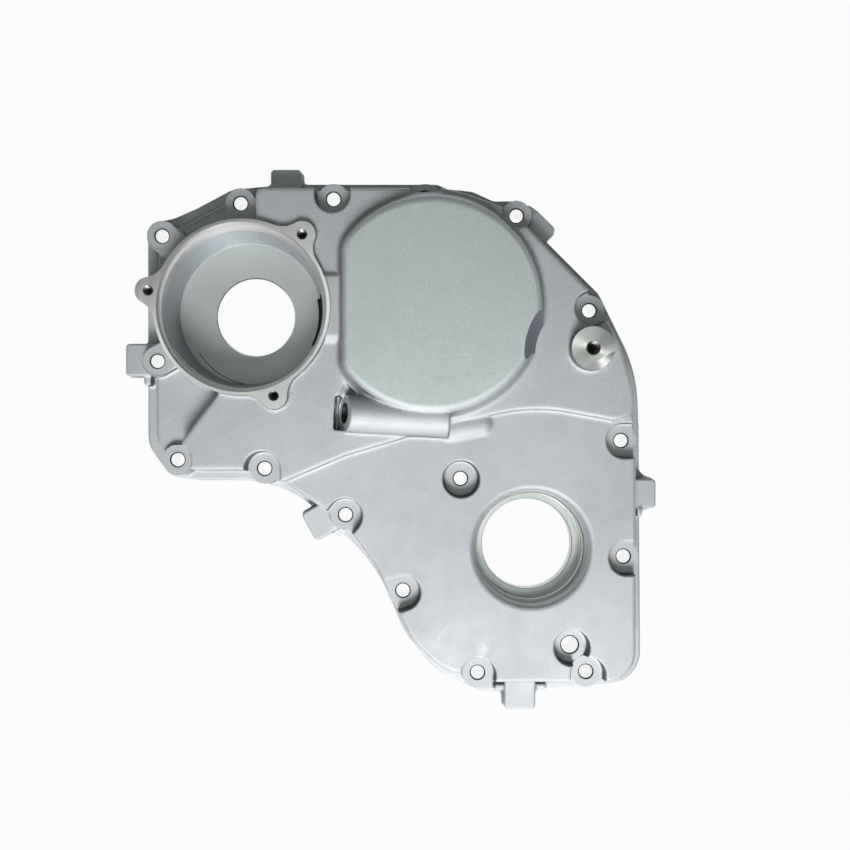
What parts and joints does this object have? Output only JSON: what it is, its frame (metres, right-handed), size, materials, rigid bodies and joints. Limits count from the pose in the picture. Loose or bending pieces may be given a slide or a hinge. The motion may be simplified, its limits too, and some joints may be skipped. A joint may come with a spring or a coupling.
{
  "type": "timing cover",
  "caption": "Cast timing gear cover for a piston engine, with a crankshaft seal bore, a deep round accessory housing, a gear dome, an oil port and a flange of bolt holes.",
  "frame": {"origin": "crankshaft axis where it meets the gasket face", "axes": "+Z along the crankshaft axis out of the engine, +Y up the engine, +X to the right seen from outside"},
  "size_m": [0.3291, 0.335, 0.042],
  "materials": {
    "casting": "fine bare die-cast skin with bright machined faces"
  },
  "bodies": {
    "root": {"timing_cover": "casting"}
  },
  "joints": []
}
